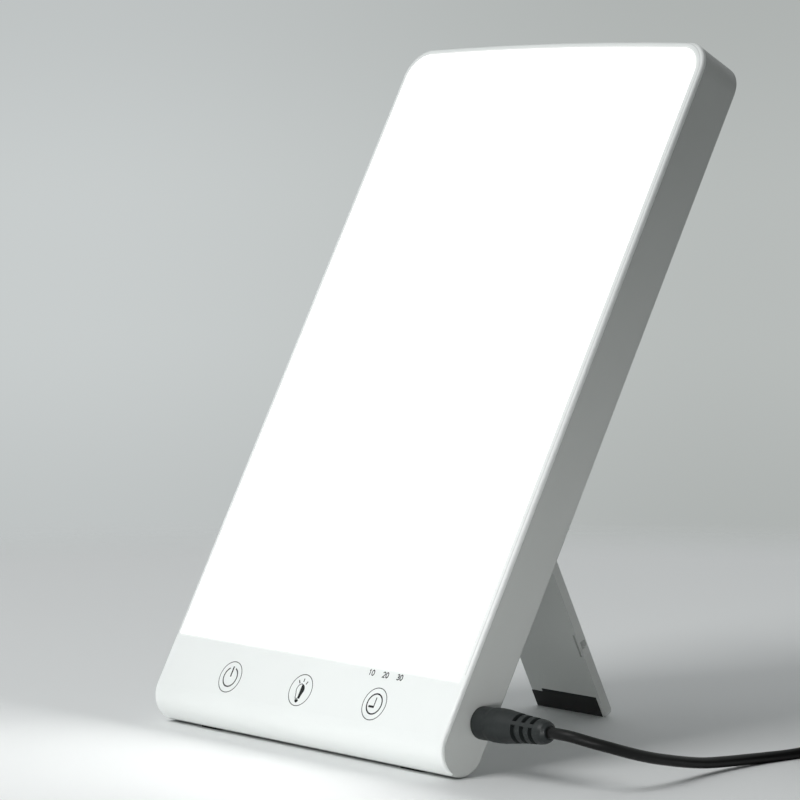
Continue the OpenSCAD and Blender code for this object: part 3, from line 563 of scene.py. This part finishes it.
POWER_R, POWER_GAP = 3.3, (118, 428)     # the arc leaves a gap at its top, in degrees
BAR_LOW, BAR_HIGH, BAR_W = 0.1, 3.7, 0.62
RAYS = [((-1.4, 2.15), (-2.15, 3.15)), ((0.15, 2.8), (0.15, 3.95)), ((1.65, 2.15), (2.2, 3.15))]
BULB_LEFT = 0.15                         # the bulb's middle lies this far left of its key's
BULB_LOW = 2.9
CLOCK_R, CLOCK_X, CLOCK_Z = 3.35, 0.15, -0.98
MARK_LINE, THIN_LINE, HAND_LINE = 0.5, 0.42, 0.7


def power_mark(x, z):
    return line(arc(x, z, POWER_R, *POWER_GAP), MARK_LINE)


def power_bar(x, z):
    return line([(x, z + BAR_HIGH), (x, z + BAR_LOW)], BAR_W)


def bulb_half(x, z, side):
    """Half of a bulb's outline, from its neck round to its crown."""
    neck = [(x + side * 1.05, z - BULB_LOW), (x + side * 1.2, z - 2.1)]
    head = [(x + side * (q[0] - x), q[1]) for q in arc(x, z + 0.15, 1.9, -35, 90, 20, 1.95)]
    return neck + head


def bulb_mark(x, z):
    """The bulb's filled right half, its cap and its rays."""
    filled = [(x, z - BULB_LOW)] + bulb_half(x, z, 1)
    cap = arc(x, z - 3.35, 0.85, 180, 360, 20, 0.95) + arc(x, z - 3.35, 0.85, 0, 180, 20, 0.2)[1:-1]
    rays = [line([(x + a[0], z + a[1]), (x + b[0], z + b[1])], THIN_LINE) for a, b in RAYS]
    return [filled, cap] + [o for ray in rays for o in ray]


def bulb_line(x, z):
    """The thin outline of the bulb's open left half."""
    return line([(x, z - BULB_LOW)] + bulb_half(x, z, -1), HAIRLINE)


def clock_mark(x, z):
    upright = line([(x + CLOCK_X, z - 0.65), (x + CLOCK_X, z + 2.2)], THIN_LINE)
    level = line([(x - 2.3, z + CLOCK_Z), (x + 0.36, z + CLOCK_Z)], HAND_LINE)
    return ring(x, z, CLOCK_R, MARK_LINE) + upright + level


DIGIT_H, DIGIT_W, DIGIT_STEP, DIGIT_LINE = 1.75, 1.05, 1.5, 0.36


def digit(figure, x, z):
    """A plain stroked figure whose lower left corner is at (x, z)."""
    w, h, r = DIGIT_W, DIGIT_H, DIGIT_W / 2
    if figure == "0":
        return line(arc(x + r, z + h / 2, r, 0, 360, 28, h / 2), DIGIT_LINE)
    if figure == "1":
        return line([(x + r * 0.3, z + h * 0.8), (x + r * 1.1, z + h), (x + r * 1.1, z)], DIGIT_LINE)
    if figure == "2":
        return line(arc(x + r, z + h - r, r, 165, -40, 14) + [(x, z), (x + w, z)], DIGIT_LINE)
    upper = arc(x + r, z + h * 0.74, r * 0.9, 155, -90, 14, h * 0.26)
    return line(upper + arc(x + r, z + h * 0.26, r, 90, -155, 14, h * 0.26), DIGIT_LINE)


def number(figures, x, z):
    left = x - (DIGIT_STEP * (len(figures) - 1) + DIGIT_W) / 2
    return [o for k, f in enumerate(figures) for o in digit(f, left + k * DIGIT_STEP, z)]


TIMER_STEPS = {"10": -6.7, "20": 0.1, "30": 6.9}     # minutes, and their places beside the timer key
TIMER_ABOVE = 8.9


def ink(name, tone):
    return moulded(name, rgba(tone, tone * 1.05, tone * 1.05), 0.6, 3000, 0.000004, 0.06, 0.2)


def make_prints():
    dark, soft = ink("key_ink", 0.012), ink("ring_ink", 0.05)
    keys = {"power": -KEY_PITCH, "light": 0, "timer": KEY_PITCH}
    for key, x in keys.items():
        new_piece(key + "_ring", print_mesh(key + "_ring", ring(x, KEY_S, RING_R)), soft)
    bulb_x = keys["light"] - BULB_LEFT
    marks = {
        "power_mark": (power_mark(keys["power"], KEY_S), soft),
        "power_mark_bar": (power_bar(keys["power"], KEY_S), dark),
        "light_mark": (bulb_mark(bulb_x, KEY_S), dark),
        "light_mark_line": (bulb_line(bulb_x, KEY_S), soft),
        "timer_mark": (clock_mark(keys["timer"], KEY_S), dark),
    }
    for minutes, dx in TIMER_STEPS.items():
        marks["timer_" + minutes] = (number(minutes, keys["timer"] + dx, KEY_S + TIMER_ABOVE), dark)
    for name, (outlines, material) in marks.items():
        new_piece(name, print_mesh(name, outlines), material)


make_prints()


# ---- Leg pad: its thin upper edge, which laps over the leg's face ----

LEG_L, LEG_IN = 122.335, 0.7
PAD_H, PAD_PROUD, PAD_MARGIN = 6.8, 0.15, 1.7
NOTCH_W, NOTCH_H = 5.5, 1.2
LAP = 1.45                # how far the edge laps up the leg beyond the pad's seat
LAP_UNDER = 0.4           # and how far it starts below the pad's notch
LAP_PROUD, LAP_SUNK = 0.02, 0.05


def make_pad_lap():
    left, right = -LEG_HALF, LEG_HALF - PAD_MARGIN
    top, low = PAD_H + LAP - LEG_L, PAD_H - NOTCH_H - LAP_UNDER - LEG_L
    inner, step = left + NOTCH_W, top - NOTCH_H
    outline = [(left, low), (right, low), (right, top), (inner, top), (inner, step), (left, step)]
    front = -LEG_IN - PAD_PROUD - LAP_PROUD
    mesh = print_mesh("leg_pad_lap", [outline], LEG_FRAME, front, -LEG_IN + LAP_SUNK)
    new_piece("leg_pad_lap", mesh, MATERIALS["rubber_black"], "leg")


make_pad_lap()


# ---- Studio: pale floor that fades into a grey surround with painted light falloff, and soft light from the front ----

FLOOR_HALF = 12
FLOOR_Z = 0.0004                    # as if the feet's rubber gave a little under the lamp's weight
FADE_NEAR, FADE_FAR = 0.485, 0.67   # the floor melts into the surround between these distances
DARK_NEAR, DARK_FAR = 0.6, 1.1      # and its colour darkens between these, where it no longer shows
FLOOR_PALE = rgba(0.77, 0.785, 0.78), rgba(0.79, 0.805, 0.80)
FLOOR_DARK, FLOOR_ROUGH = rgba(0.3), 0.6


def seen_directly(s):
    """1 for the rays that show the surround: camera, glossy and transmission."""
    path = s.tree.nodes.new("ShaderNodeLightPath")
    rays = [path.outputs[k] for k in ("Is Camera Ray", "Is Glossy Ray", "Is Transmission Ray")]
    return s.math("MAXIMUM", s.math("MAXIMUM", rays[0], rays[1]), rays[2])


def floor_material():
    s = Shader("floor")
    reach = s.tree.nodes.new("ShaderNodeVectorMath")
    reach.operation = "LENGTH"
    s.link(s.where(), reach.inputs[0])
    distance = reach.outputs["Value"]
    dark = s.span(distance, DARK_NEAR, DARK_FAR, smooth=True)
    s.set(Base_Color=s.blend(dark, s.blend(s.noise(2, 2), *FLOOR_PALE), FLOOR_DARK))
    s.set(Roughness=FLOOR_ROUGH)
    fade = s.math("MULTIPLY", s.span(distance, FADE_NEAR, FADE_FAR, smooth=True), seen_directly(s))
    clear = s.tree.nodes.new("ShaderNodeBsdfTransparent")
    s.link(s.mix(fade, s.bsdf.outputs[0], clear.outputs[0]), s.out.inputs[0])
    return s.mat


def make_floor():
    bm = bmesh.new()
    bmesh.ops.create_grid(bm, x_segments=1, y_segments=1, size=FLOOR_HALF)
    mesh = bpy.data.meshes.new("floor")
    bm.to_mesh(mesh)
    bm.free()
    floor = bpy.data.objects.new("floor", mesh)
    mesh.materials.append(floor_material())
    floor.location.z = FLOOR_Z
    bpy.context.collection.objects.link(floor)
    return floor


# Directions in the surround are told by how far they point along an axis, from -1 to 1.
AMBIENT_COLOR = rgba(0.96, 0.985, 1.0)
AMBIENT, AMBIENT_RIGHT = 0.75, 0.05     # the lamp's right side faces a darker part of the room
AMBIENT_TURN = -0.3, 0.4
# painted light falloff: the surround is lighter to the left of the main view and darker to its right
SURROUND_LEFT, SURROUND_RIGHT = rgba(0.58, 0.61, 0.61), rgba(0.475, 0.50, 0.49)
SURROUND_AXIS = Vector((math.cos(AZIMUTH), math.sin(AZIMUTH), 0))
SURROUND_TURN = -0.1, 0.1
LOW_TURN, HIGH_TURN = (-0.115, -0.05), (-0.02, 0.045)
SURROUND_DIM = 0.90                     # the surround's strength at its lower and upper ends


def toward(s, axis):
    """How far the ray's direction points along the axis."""
    node = s.tree.nodes.new("ShaderNodeVectorMath")
    node.operation = "DOT_PRODUCT"
    s.link(s.tree.nodes.new("ShaderNodeTexCoord").outputs["Generated"], node.inputs[0])
    node.inputs[1].default_value = axis
    return node.outputs["Value"]


def make_world():
    world = bpy.data.worlds.new("studio")
    world.use_nodes = True
    s = Nodes(world.node_tree)
    ambient = s.tree.nodes["Background"]
    strength = s.span(toward(s, (1, 0, 0)), *AMBIENT_TURN, AMBIENT, AMBIENT_RIGHT, smooth=True)
    s.put(AMBIENT_COLOR, ambient.inputs["Color"])
    s.put(strength, ambient.inputs["Strength"])
    shown = s.tree.nodes.new("ShaderNodeBackground")
    # painted light falloff across the surround, from SURROUND_LEFT to SURROUND_RIGHT
    side = s.span(toward(s, SURROUND_AXIS), *SURROUND_TURN, smooth=True)
    height = toward(s, (0, 0, 1))
    low = s.span(height, *LOW_TURN, SURROUND_DIM, 1.0, smooth=True)
    high = s.span(height, *HIGH_TURN, 1.0, SURROUND_DIM, smooth=True)
    s.put(s.blend(side, SURROUND_LEFT, SURROUND_RIGHT), shown.inputs["Color"])
    s.put(s.math("MULTIPLY", low, high), shown.inputs["Strength"])
    both = s.mix(seen_directly(s), ambient.outputs[0], shown.outputs[0])
    s.link(both, s.tree.nodes["World Output"].inputs[0])
    bpy.context.scene.world = world


# Each lamp's place, aim and size in metres, power in watts and spread in degrees
KEY_LIGHT = dict(place=(-0.12, -1.5, 1.6), aim=(0, 0, 0.1), size=(1, 1), power=21.5, spread=180)
LOW_FILL = dict(place=(0.33, -0.26, 0.03), aim=(0.05, 0, 0.035), size=(0.4, 0.05), power=0.095, spread=54)


def area_light(name, place, aim, size, power, spread):
    data = bpy.data.lights.new(name, "AREA")
    data.shape, data.size, data.size_y = "RECTANGLE", *size
    data.energy, data.spread = power, math.radians(spread)
    lamp = bpy.data.objects.new(name, data)
    lamp.location = place
    lamp.rotation_mode = "QUATERNION"
    lamp.rotation_quaternion = (Vector(aim) - Vector(place)).to_track_quat("-Z", "Y")
    bpy.context.collection.objects.link(lamp)
    return lamp


def keep_off(lamp, thing):
    """The lamp doesn't light this thing."""
    left_out = bpy.data.collections.new(lamp.name + "_keeps_off")
    left_out.objects.link(thing)
    left_out.collection_objects[0].light_linking.link_state = "EXCLUDE"
    lamp.light_linking.receiver_collection = left_out


floor = make_floor()
make_world()
area_light("key", **KEY_LIGHT)
keep_off(area_light("low_fill", **LOW_FILL), floor)     # else its pool of light would show from behind
bpy.context.scene.view_settings.view_transform = "Standard"

bpy.context.view_layer.update()
